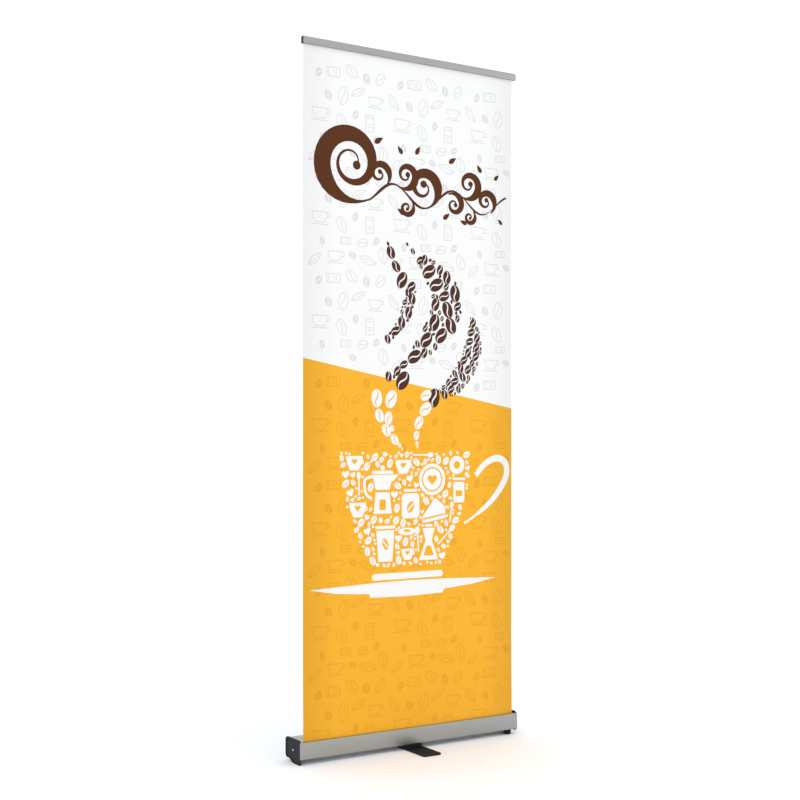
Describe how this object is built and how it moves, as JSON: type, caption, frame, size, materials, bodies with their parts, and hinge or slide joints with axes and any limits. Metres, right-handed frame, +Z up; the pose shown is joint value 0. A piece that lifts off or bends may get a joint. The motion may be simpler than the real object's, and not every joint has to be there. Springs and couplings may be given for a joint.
{
  "type": "roll-up banner stand",
  "caption": "Free-standing display stand: printed film drawn from a spring roller in a floor cassette and held up by a telescopic pole and a clamp rail.",
  "frame": {"origin": "on the floor, at the centre of the stand's box, on the swivel foot's pivot axis", "axes": "+X along the cassette, to the right as seen from the printed side; +Y to the rear, away from the printed face; +Z up along the pole"},
  "size_m": [0.831, 0.318, 2.242],
  "materials": {
    "aluminium": "satin anodised",
    "steel": "zinc plated",
    "black_plastic": "fine moulded texture",
    "grey_plastic": "moulded",
    "rubber": "matt",
    "printed_film": "matt print film",
    "leader_film": "matt"
  },
  "bodies": {
    "cassette": {"cassette_profile": "aluminium", "end_cap_left": "black_plastic", "end_cap_right": "black_plastic", "end_cap_screw_left": "steel", "end_cap_screw_right": "steel", "dome_foot_left": "rubber", "dome_foot_right": "rubber", "dome_foot_screw_left": "steel", "dome_foot_screw_right": "steel", "idle_axle": "steel", "spring_shaft": "steel", "spring_anchor_fixed": "grey_plastic", "torsion_spring": "steel", "pole_socket": "black_plastic", "pole_lower": "aluminium", "pivot_washer": "steel", "banner_film": "printed_film"},
    "roller": {"roller_tube": "aluminium", "wound_leader": "leader_film", "roller_plug_left": "grey_plastic", "roller_plug_right": "grey_plastic", "spring_anchor_drive": "grey_plastic"},
    "foot": {"swivel_foot": "black_plastic", "foot_pad_front": "rubber", "foot_pad_rear": "rubber", "pivot_bolt": "steel", "pivot_nut": "steel"},
    "lower_collar": {"lock_collar_lower": "black_plastic"},
    "pole_middle": {"pole_middle": "aluminium", "pole_guide_middle": "grey_plastic"},
    "middle_collar": {"lock_collar_middle": "black_plastic"},
    "pole_upper": {"pole_upper": "aluminium", "pole_guide_upper": "grey_plastic", "pole_head": "black_plastic"},
    "rail": {"rail_rear_jaw": "aluminium", "rail_cap_left": "black_plastic", "rail_cap_right": "black_plastic", "rail_hanger": "black_plastic", "grip_strip": "rubber"},
    "rail_jaw": {"rail_front_jaw": "aluminium"}
  },
  "joints": [
    {"name": "foot_swivel", "type": "hinge", "parent": "cassette", "child": "foot", "pos_m": [0, 0, 0.0085], "axis": [0, 0, 1], "range_deg": [0, 90]},
    {"name": "pole_collapse", "type": "slide", "parent": "cassette", "child": "pole_middle", "axis": [0, 0, -1], "range_m": [0, 0.66], "deforming": ["banner_film"]},
    {"name": "pole_collapse_upper", "type": "slide", "parent": "pole_middle", "child": "pole_upper", "axis": [0, 0, -1], "range_m": [0, 0.66]},
    {"name": "roller_spin", "type": "hinge", "parent": "cassette", "child": "roller", "pos_m": [0, -0.0225, 0.042], "axis": [1, 0, 0], "range_deg": [0, 4000]},
    {"name": "lower_collar_twist", "type": "hinge", "parent": "cassette", "child": "lower_collar", "pos_m": [0, 0.022, 0.785], "axis": [0, 0, 1], "range_deg": [0, 60]},
    {"name": "middle_collar_twist", "type": "hinge", "parent": "pole_middle", "child": "middle_collar", "pos_m": [0, 0.022, 1.497], "axis": [0, 0, 1], "range_deg": [0, 60]},
    {"name": "rail_lift", "type": "slide", "parent": "pole_upper", "child": "rail", "axis": [0, 0, 1], "range_m": [0, 0.02]},
    {"name": "jaw_open", "type": "hinge", "parent": "rail", "child": "rail_jaw", "pos_m": [0.004, -0.045, 2.239], "axis": [-1, 0, 0], "range_deg": [0, 45]}
  ],
  "couplings": [
    {"joint": "pole_collapse_upper", "follows": "pole_collapse", "ratio": 1},
    {"joint": "roller_spin", "follows": "pole_collapse", "rad_per_m": 105}
  ]
}
